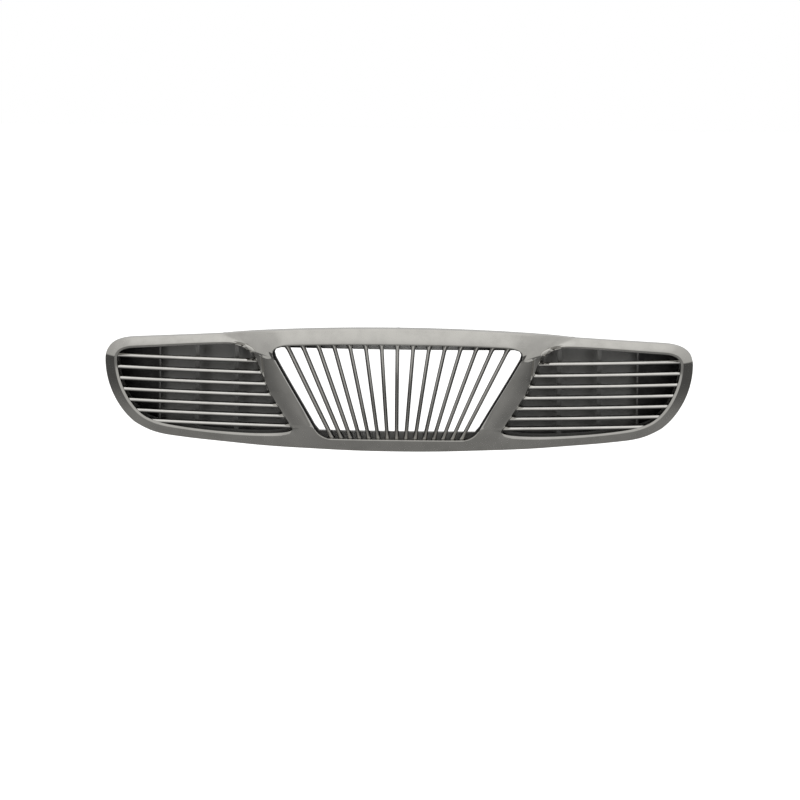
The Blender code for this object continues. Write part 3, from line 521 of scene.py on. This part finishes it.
# ---------------------------------------------------------------------------------------------------------
# Carriers, trays and ribs behind the openings. The deep end trays are moulded in black ABS with a fine
# spark-eroded grain, the shallow trays and side carriers in smoother dark greys, and the centre carrier is
# finished in satin grey.
def moulded(name, dark, light, roughness, grain=0.35, painted_shade=None):
    """A moulded plastic. Between the two given distances from the grille's middle it is painted darker towards
    the ends: painted shade.
    """
    finish = Finish(name)
    blotch = finish.noise(14, 4, 0.55)
    pits = finish.noise(2600, 2, 0.5)
    scuff = finish.noise(1.0, 3, 0.7, finish.stretch(60, 500, 700)).above(0.6, 0.85)
    dust = finish.noise(60, 6, 0.7).above(0.45, 0.85)
    colour = finish.mix(blotch, dark, light)
    colour = finish.mix(dust * 0.25, colour, (0.20, 0.19, 0.175, 1))
    if painted_shade:
        # Painted shade: the colour darkens towards the ends, away from the grille's middle.
        aside = finish.node("ShaderNodeSeparateXYZ", {}, {0: finish.place()})
        colour = finish.mix(aside.maths("ABSOLUTE", aside).above(*painted_shade), colour, (0.012, 0.012, 0.012, 1))
    finish.set(
        Base_Color=colour,
        Roughness=blotch * 0.12 + scuff * 0.12 + dust * 0.1 + roughness,
        Normal=finish.bump(pits, grain, 0.00012, finish.bump(blotch, 0.1, 0.001)),
    )
    return finish.material


black_plastic = moulded("black_grained_plastic", (0.012, 0.012, 0.012, 1), (0.028, 0.027, 0.026, 1), 0.42)
grey_plastic = moulded("dark_grey_plastic", (0.130, 0.130, 0.126, 1), (0.190, 0.189, 0.183, 1), 0.30, 0.15)


def finish_nodes(material, *names):
    for name in names:
        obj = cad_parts[name]
        for i in range(max(1, len(obj.material_slots))):
            if not obj.material_slots:
                obj.data.materials.append(material)
            obj.material_slots[i].material = material


finish_nodes(black_plastic, "left_end_tray", "right_end_tray")
# The centre carrier is a satin grey. Its ends are darkened as a stand-in for the shade that they lie in.
CARRIER_DARK, CARRIER_LIGHT, CARRIER_PAINTED_SHADE = (0.24, 0.24, 0.235, 1), (0.30, 0.30, 0.29, 1), (0.07, 0.125)
carrier_satin_with_painted_shade = moulded("satin_carrier_with_painted_shade", CARRIER_DARK, CARRIER_LIGHT, 0.28, 0.15, CARRIER_PAINTED_SHADE)
finish_nodes(carrier_satin_with_painted_shade, "centre_frame")
finish_nodes(grey_plastic, "left_tray", "right_tray")
rib_plastic = moulded("rib_plastic", (0.080, 0.080, 0.077, 1), (0.115, 0.114, 0.110, 1), 0.36, 0.2)
finish_nodes(rib_plastic, "left_side_frame", "right_side_frame")


# ---------------------------------------------------------------------------------------------------------
# Fanned bars. Each is a chromed ABS blade with a ribbed nose and a flared foot at its top, pushed into the
# notches of the centre carrier.
BAR_COUNT = 15
BAR_PITCH_TOP, BAR_PITCH_BOTTOM = 0.0233, 0.0134
BAR_HALF = 0.0028
BAR_NOSE, BAR_NOSE_BOW, BAR_BACK = -0.004, 0.006, 0.024
OPENING_TOP, OPENING_BOTTOM = 0.0674, -0.0708
# The bars' sides are painted darker with depth behind the nose, a painted reflection of the dark surroundings.
bar_chrome = chrome("bar_chrome", (0.60, 0.59, 0.565, 1), 0.09, sink=(0.0002, 0.0016))

centre_outline = [s.inner for s in stations if s.run == "crown"]
centre_outline += curve_points(ARM_SIDES[0], ARM_STEPS[0]) + [s.inner for s in stations if s.run == "chin"]
centre_outline += [Vector((-p.x, p.y)) for p in centre_outline[-2:0:-1]]


def crossing(x, lean, outline):
    """Lowest and highest z at which the line x + lean * z crosses an outline."""
    found = []
    for a, b in zip(outline, outline[1:] + outline[:1]):
        before, after = a.x - x - lean * a.y, b.x - x - lean * b.y
        if before * after <= 0 and before != after:
            found.append(a.lerp(b, before / (before - after)).y)
    return min(found), max(found)


def bar_section(half):
    """Half a bar's section from the middle of its nose to its tail: (sideways, depth behind the nose)."""
    return [
        (0.00 * half, 0.00000),
        (0.18 * half, 0.00006),
        (0.30 * half, 0.00030),
        (0.42 * half, 0.00070),
        (0.60 * half, 0.00095),
        (0.82 * half, 0.00130),
        (0.96 * half, 0.00200),
        (1.00 * half, 0.00300),
        (0.93 * half, 0.00650),
    ]


def bar_mesh(place):
    step = place - (BAR_COUNT - 1) / 2
    lean = step * (BAR_PITCH_TOP - BAR_PITCH_BOTTOM) / (OPENING_TOP - OPENING_BOTTOM)
    middle = step * BAR_PITCH_BOTTOM - OPENING_BOTTOM * lean
    low, high = crossing(middle, lean, centre_outline)
    low, high = low + 0.0005, high - 0.0005
    tilt = math.cos(math.atan(lean))
    work = bmesh.new()
    sink = work.verts.layers.float.new("sink")
    rings = []
    count = 40
    for i in range(count + 1):
        z = low + (high - low) * i / count
        to_top, to_foot = (high - z) / 0.007, (z - low) / 0.005
        half = BAR_HALF / tilt
        flare = half * (1 + 0.85 * math.exp(-(to_top**1.5) * 2.2) + 0.35 * math.exp(-(to_foot**1.5) * 2.2))
        nose = BAR_NOSE + BAR_NOSE_BOW * (z / OPENING_TOP) ** 2
        side = [(across, nose + behind) for across, behind in bar_section(flare)]
        side.append((0.61 * half, BAR_BACK))
        ring = [(across, depth) for across, depth in side]
        ring += [(-across, depth) for across, depth in side[:0:-1]]
        x = middle + lean * z
        line = []
        for across, depth in ring:
            corner = work.verts.new(bowed(x + across, depth, z))
            # The depth behind the nose, which drives the painted darkening of the sides.
            corner[sink] = depth - nose
            line.append(corner)
        rings.append(line)
    for a, b in zip(rings, rings[1:]):
        for j in range(len(a)):
            work.faces.new((a[j - 1], a[j], b[j], b[j - 1]))
    work.faces.new(rings[0])
    work.faces.new(rings[-1][::-1])
    bmesh.ops.recalc_face_normals(work, faces=work.faces)
    mesh = bpy.data.meshes.new(f"bar_{place + 1}")
    work.to_mesh(mesh)
    work.free()
    return mesh


for place in range(BAR_COUNT):
    name = f"bar_{place + 1:02d}"
    blade = add_piece("fan_" + name, bar_mesh(place), bar_chrome, [name])
    shade(blade, 50)


# ---------------------------------------------------------------------------------------------------------
# Slats. Seven chromed strips across each side opening, each with a ribbed nose, clipped over the ribs of the
# side carrier.
SLAT_COUNT = 7
SLAT_TOP, SLAT_PITCH, SLAT_PITCH_SHRINK = 0.0391, 0.0170, 0.00054
SLAT_BACK = 0.0245
# Below this height a slat's colour is painted darker, a painted reflection of the dark surroundings under its
# nose.
SLAT_BRIGHT = 0.0010  # a slat is brightest above this height of its section
SLAT_END_GAP = 0.0006
# A slat's section, as (depth, height). The nose leans back to catch the light, between two beads.
SLAT_SECTION = (
    (SLAT_BACK, 0.0015),
    (0.0120, 0.0026),
    (0.0080, 0.0030),
    (0.0068, 0.0028),
    (0.0060, 0.0022),
    (0.0052, 0.0013),
    (0.0044, 0.0004),
    (0.0036, -0.0004),
    (0.0031, -0.0010),
    (0.0030, -0.0016),
    (0.0030, -0.0023),
    (0.0034, -0.0028),
    (0.0044, -0.0030),
    (0.0120, -0.0026),
    (SLAT_BACK, -0.0015),
)
side_outline = [s.inner for s in stations if s.run in ("wing", "tip", "cheek", "sill")]
side_outline += [*reversed(curve_points(ARM_SIDES[1], ARM_STEPS[1]) + [Vector(ARM_FOOT_SIDE)])][:-1]


def reach_at(z, outline):
    """Lowest and highest x at which an outline crosses a height."""
    found = []
    for a, b in zip(outline, outline[1:] + outline[:1]):
        if (a.y - z) * (b.y - z) <= 0 and a.y != b.y:
            found.append(a.lerp(b, (a.y - z) / (a.y - b.y)).x)
    return min(found), max(found)


def slat_mesh(side, place):
    height = SLAT_TOP - place * SLAT_PITCH + place * (place - 1) / 2 * SLAT_PITCH_SHRINK
    work = bmesh.new()
    sink = work.verts.layers.float.new("sink")
    lines = []
    count = 36
    for depth, up in SLAT_SECTION:
        z = height + up
        near, far = reach_at(z, side_outline)
        near += SLAT_END_GAP + SIDE_WALL_FLARE * max(0, depth) / SIDE_WALL_END
        far -= SLAT_END_GAP
        line = []
        for i in range(count + 1):
            x = near + (far - near) * i / count
            corner = work.verts.new(bowed(side * x, depth, z))
            # How far below that height a corner lies, which drives the painted darkening.
            corner[sink] = max(0, SLAT_BRIGHT - up)
            line.append(corner)
        lines.append(line)
    for a, b in zip(lines, lines[1:] + lines[:1]):
        for i in range(count):
            work.faces.new((a[i], a[i + 1], b[i + 1], b[i]))
    work.faces.new([line[0] for line in lines])
    work.faces.new([line[-1] for line in reversed(lines)])
    bmesh.ops.recalc_face_normals(work, faces=work.faces)
    mesh = bpy.data.meshes.new("slat")
    work.to_mesh(mesh)
    work.free()
    return mesh


# The slats' plating has a brighter tint than the shell's, a painted highlight on their noses.
slat_chrome = chrome("slat_chrome", (0.78, 0.77, 0.745, 1), 0.07, sink=(0.0002, 0.0044))
for side, hand in ((-1, "left"), (1, "right")):
    for place in range(SLAT_COUNT):
        name = f"{hand}_slat_{place + 1}"
        mesh = slat_mesh(side, place)
        strip = add_piece(f"{hand}_ribbed_slat_{place + 1}", mesh, slat_chrome, [name])
        shade(strip, 40)


# ---------------------------------------------------------------------------------------------------------
# Fittings of the surround: top tabs, bottom hooks, screw bosses and bracket pockets. They are moulded in one
# with the shell, stand behind it where they don't show from in front, and are plated with it.
TAB_PLACES, TAB_HALF, TAB_PLATE, TAB_STEP, TAB_EMBED = (-0.252, 0, 0.252), 0.015, 0.003, 0.005, 0.013
TAB_REACH, TAB_HOLE, TAB_HOLE_SETBACK, TAB_SEAT_START = 0.034, 0.0038, 0.014, 0.005
HOOK_PLACES, HOOK_HALF, HOOK_PLATE, HOOK_STEP = (-0.060, 0, 0.060), 0.008, 0.003, 0.0015
HOOK_REACH, HOOK_LIP = 0.016, 0.005
BOSS_RADIUS, BOSS_BORE, BOSS_LENGTH, BOSS_SETBACK = 0.0047, 0.0020, 0.010, 0.0058
POCKET_WALL, POCKET_LENGTH, POCKET_DEPTH, LEG_STEEL, LEG_PLACE = 0.0026, 0.013, 0.011, 0.002, 0.424
outer_ring = outer_line + [Vector((-p.x, p.y)) for p in outer_line[-2:0:-1]]


def helper(work):
    """A solid that only shapes a fitting."""
    mesh = bpy.data.meshes.new("helper")
    work.to_mesh(mesh)
    work.free()
    obj = bpy.data.objects.new("helper", mesh)
    bpy.context.scene.collection.objects.link(obj)
    return obj


def block(low, high):
    work = bmesh.new()
    bmesh.ops.create_cube(work, size=1)
    for v in work.verts:
        v.co = [a + (b - a) * (c + 0.5) for a, b, c in zip(low, high, v.co)]
    return helper(work)


def rod(radius, start, end):
    run = Vector(end) - Vector(start)
    middle = Matrix.Translation((Vector(start) + Vector(end)) / 2)
    matrix = middle @ run.to_track_quat("Z", "Y").to_matrix().to_4x4()
    work = bmesh.new()
    sizes = {"radius1": radius, "radius2": radius, "depth": run.length}
    bmesh.ops.create_cone(work, cap_ends=True, segments=36, matrix=matrix, **sizes)
    return helper(work)


def fitting(name, base, joined=(), cut=()):
    """A fitting made of one helper, with others joined to it and others cut from it."""
    made = add_piece(name, base.data, bright_chrome, ["surround"])
    for operation, helpers in (("UNION", joined), ("DIFFERENCE", cut)):
        for other in helpers:
            change = made.modifiers.new("Change", "BOOLEAN")
            change.operation = operation
            change.object = other
    apply_modifiers(made)
    for other in (base, *joined, *cut):
        bpy.data.objects.remove(other)
    round_edges(made, 0.00035, 2, 40)
    shade(made, 35)


def top_tab(name, x):
    """A plate with a hole for a push retainer, and its root under the top wall."""
    top = bowed(x, OUTER_WALL_END, crossing(x, 0, outer_ring)[1])
    high = top.z - TAB_STEP
    near, far, rear = x - TAB_HALF, x + TAB_HALF, top.y + TAB_REACH
    plate = block((near, top.y - TAB_EMBED, high - TAB_PLATE * 0.6), (far, rear, high))
    seat = block((near, top.y + TAB_SEAT_START, high - TAB_PLATE), (far, rear, high - 0.001))
    width = TAB_HALF * 2 / 3
    root = block((x - width, top.y - TAB_EMBED, high - 0.0015), (x + width, top.y - 0.001, top.z - WALL / 2))
    place = (x, top.y + TAB_REACH - TAB_HOLE_SETBACK)
    fitting(name, plate, (seat, root), (rod(TAB_HOLE, (*place, high - 0.01), (*place, high + 0.01)),))


def bottom_hook(name, x):
    """A plate behind the bottom wall, with a lip that turns down."""
    edge = bowed(x, OUTER_WALL_END, crossing(x, 0, outer_ring)[0])
    low = edge.z + HOOK_STEP
    high = low + HOOK_PLATE
    rear = edge.y + HOOK_REACH
    plate = block((x - HOOK_HALF, edge.y - TAB_EMBED, low), (x + HOOK_HALF, rear, high))
    lip = block((x - HOOK_HALF, rear - HOOK_PLATE, low - HOOK_LIP), (x + HOOK_HALF, rear, high - 0.001))
    fitting(name, plate, (lip,))


def screw_boss(name, screw):
    """A bored post in front of an ear of one of the inserts."""
    low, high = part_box(screw)
    x, z = (low[0] + high[0]) / 2, (low[2] + high[2]) / 2
    rear = high[1] - BOSS_SETBACK
    post = rod(BOSS_RADIUS, (x, rear - BOSS_LENGTH, z), (x, rear, z))
    bore = rod(BOSS_BORE, (x, rear - BOSS_LENGTH * 0.85, z), (x, rear + 0.01, z))
    fitting(name, post, (), (bore,))


def bracket_pocket(name, side, bracket):
    """A sleeve on the end wall that the bracket's leg pushes into."""
    low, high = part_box(bracket)
    z, half = (low[2] + high[2]) / 2, (high[2] - low[2]) / 2 + POCKET_WALL
    front = low[1] + POCKET_DEPTH - POCKET_LENGTH
    inner_x, outer_x = LEG_PLACE - LEG_STEEL / 2 - POCKET_WALL, HALF_WIDTH - WALL + 0.0003
    near, far = sorted((side * inner_x, side * outer_x))
    sleeve = block((near, front, z - half), (far, low[1] + POCKET_DEPTH, z + half))
    inner = LEG_STEEL / 2 + 0.0004
    leg = side * LEG_PLACE
    tall = half - POCKET_WALL + 0.0004
    slot = block((leg - inner, low[1] - 0.0004, z - tall), (leg + inner, low[1] + 0.03, z + tall))
    fitting(name, sleeve, (), (slot,))


for x, hand in zip(TAB_PLACES, ("left", "centre", "right")):
    top_tab(hand + "_tab", x)
for x, hand in zip(HOOK_PLACES, ("left", "centre", "right")):
    bottom_hook(hand + "_hook", x)
SCREW_COUNTS = (("centre", 4), ("left", 2), ("right", 2))
screws = [f"{where}_screw_{i + 1}" for where, count in SCREW_COUNTS for i in range(count)]
for screw in screws:
    screw_boss(screw.replace("screw", "boss"), screw)
for side, hand in ((-1, "left"), (1, "right")):
    bracket_pocket(hand + "_pocket", side, hand + "_bracket")


# ---------------------------------------------------------------------------------------------------------
# Steel fixings and clips. The screws and the pressed end brackets are zinc-plated, the spring nuts on the
# brackets are phosphated, and the push retainers in the top tabs are moulded in black nylon.
def plated_steel(name, tint, roughness):
    finish = Finish(name)
    spangle = finish.noise(420, 3, 0.6)
    stain = finish.noise(45, 4, 0.6)
    colour = finish.mix(stain.above(0.4, 0.75), tint, tuple(c * 0.7 for c in tint[:3]) + (1,))
    finish.set(
        Base_Color=colour,
        Metallic=1.0,
        Roughness=spangle * 0.2 + stain * 0.1 + roughness,
        Normal=finish.bump(spangle, 0.15, 0.0002),
    )
    return finish.material


zinc = plated_steel("zinc_plating", (0.55, 0.55, 0.50, 1), 0.2)
phosphate = plated_steel("phosphated_spring_steel", (0.16, 0.16, 0.165, 1), 0.35)
finish_nodes(zinc, "left_bracket", "right_bracket", *screws)
finish_nodes(phosphate, "left_spring_nut", "right_spring_nut")
clip_nylon = moulded("clip_nylon", (0.020, 0.020, 0.022, 1), (0.035, 0.035, 0.037, 1), 0.38, 0.1)
for where in ("centre", "left", "right"):
    finish_nodes(clip_nylon, where + "_retainer", where + "_retainer_pin")


# ---------------------------------------------------------------------------------------------------------
# Pale floor, soft studio light, and the camera.
low, high = cad_box
FLOOR_Z = low[2] - 0.45
work = bmesh.new()
bmesh.ops.create_grid(work, x_segments=1, y_segments=1, size=12)
mesh = bpy.data.meshes.new("floor")
work.to_mesh(mesh)
work.free()
floor = bpy.data.objects.new("studio_floor", mesh)
floor.location.z = FLOOR_Z
bpy.context.scene.collection.objects.link(floor)
paper = Finish("pale_paper")
paper.set(
    Base_Color=paper.mix(paper.noise(3, 3), (0.80, 0.80, 0.80, 1), (0.84, 0.84, 0.84, 1)),
    Roughness=0.9,
    Emission_Color=(1, 1, 1, 1),
    Emission_Strength=0.6,
)
mesh.materials.append(paper.material)
floor.visible_glossy = False

class Sky(Finish):
    """The world's nodes, built the way a finish is."""

    def __init__(self, world):
        world.use_nodes = True
        self.tree = world.node_tree


world = bpy.data.worlds.new("studio")
bpy.context.scene.world = world
sky = Sky(world)
aside, up = [sky.node("ShaderNodeSeparateXYZ", {}, {0: sky.node("ShaderNodeTexCoord")}, i) for i in (0, 2)]
ramp = sky.node("ShaderNodeValToRGB", {}, {0: up * 0.5 + 0.5})
stops = ((0.0, 0.25), (0.40, 0.31), (0.47, 0.27), (0.497, 0.34), (0.512, 0.58), (0.72, 0.62), (0.88, 0.70))
stops += ((0.94, 0.88), (1.0, 0.98))
for i, (at, value) in enumerate(stops):
    elements = ramp.socket.node.color_ramp.elements
    element = elements[i] if i < 2 else elements.new(at)
    element.position = at
    element.color = (value, value * 0.995, value * 0.975, 1)
# Black flags to both sides, just under eye level.
sideways = aside.maths("ABSOLUTE", aside).above(0.50, 0.90)
flags = sideways * (1 - up.above(-0.03, 0.01)) * up.above(-0.65, -0.25)
tone = sky.mix(flags * 0.8, ramp, (0.05, 0.05, 0.05, 1))
sky.feed(sky.tree.nodes["Background"].inputs[0], tone)
white = sky.node("ShaderNodeBackground", {}, {0: (1, 1, 1, 1)})
seen = sky.node("ShaderNodeLightPath")
lit = Socket(sky, sky.tree.nodes["Background"].outputs[0])
shown = sky.node("ShaderNodeMixShader", {}, {0: seen, 1: lit, 2: white})
sky.feed(sky.tree.nodes["World Output"].inputs[0], shown)


def softbox(name, place, aim, size, power):
    lamp = bpy.data.lights.new(name, "AREA")
    lamp.shape = "RECTANGLE"
    lamp.size, lamp.size_y = size
    lamp.energy = power
    obj = bpy.data.objects.new(name, lamp)
    obj.location = place
    obj.rotation_euler = (Vector(aim) - Vector(place)).to_track_quat("-Z", "Y").to_euler()
    obj.visible_glossy = False
    bpy.context.scene.collection.objects.link(obj)
    return obj


middle = (Vector(low) + Vector(high)) / 2
softbox("top_softbox", middle + Vector((0, -0.5, 1.7)), middle, (2.6, 1.4), 45)
softbox("left_strip", middle + Vector((-1.9, -1.5, 0.5)), middle, (0.5, 1.6), 16)
softbox("right_strip", middle + Vector((1.9, -1.4, 0.5)), middle, (0.5, 1.6), 12)

CAMERA_DISTANCE = 8.0
CAMERA_AZIMUTH, CAMERA_ELEVATION, CAMERA_ROLL = 1.5, 7.2, 0.57
FRAME_WIDTH = 1.163  # how much of the grille's middle plane the picture spans
AIM_RIGHT, AIM_UP = 0.0037, -0.0169  # from the middle of the grille, in the picture's plane
AIM_DEPTH = 0.032  # behind the middle of the face
camera = bpy.data.objects.new("camera", bpy.data.cameras.new("camera"))
turn, rise = math.radians(CAMERA_AZIMUTH), math.radians(CAMERA_ELEVATION)
away = Vector((math.sin(turn) * math.cos(rise), -math.cos(turn) * math.cos(rise), math.sin(rise)))
across = Vector((math.cos(turn), math.sin(turn), 0))
aim = Vector((0, MID_FRONT + AIM_DEPTH, MID_HEIGHT)) + across * AIM_RIGHT + away.cross(across) * AIM_UP
camera.location = aim + away * CAMERA_DISTANCE
look = (-away).to_track_quat("-Z", "Y").to_matrix().to_4x4()
camera.rotation_euler = (look @ Matrix.Rotation(math.radians(CAMERA_ROLL), 4, "Z")).to_euler()
camera.data.sensor_width = 36
camera.data.lens = 36 * CAMERA_DISTANCE / FRAME_WIDTH
bpy.context.scene.collection.objects.link(camera)
bpy.context.scene.camera = camera
bpy.context.scene.view_settings.view_transform = "Standard"
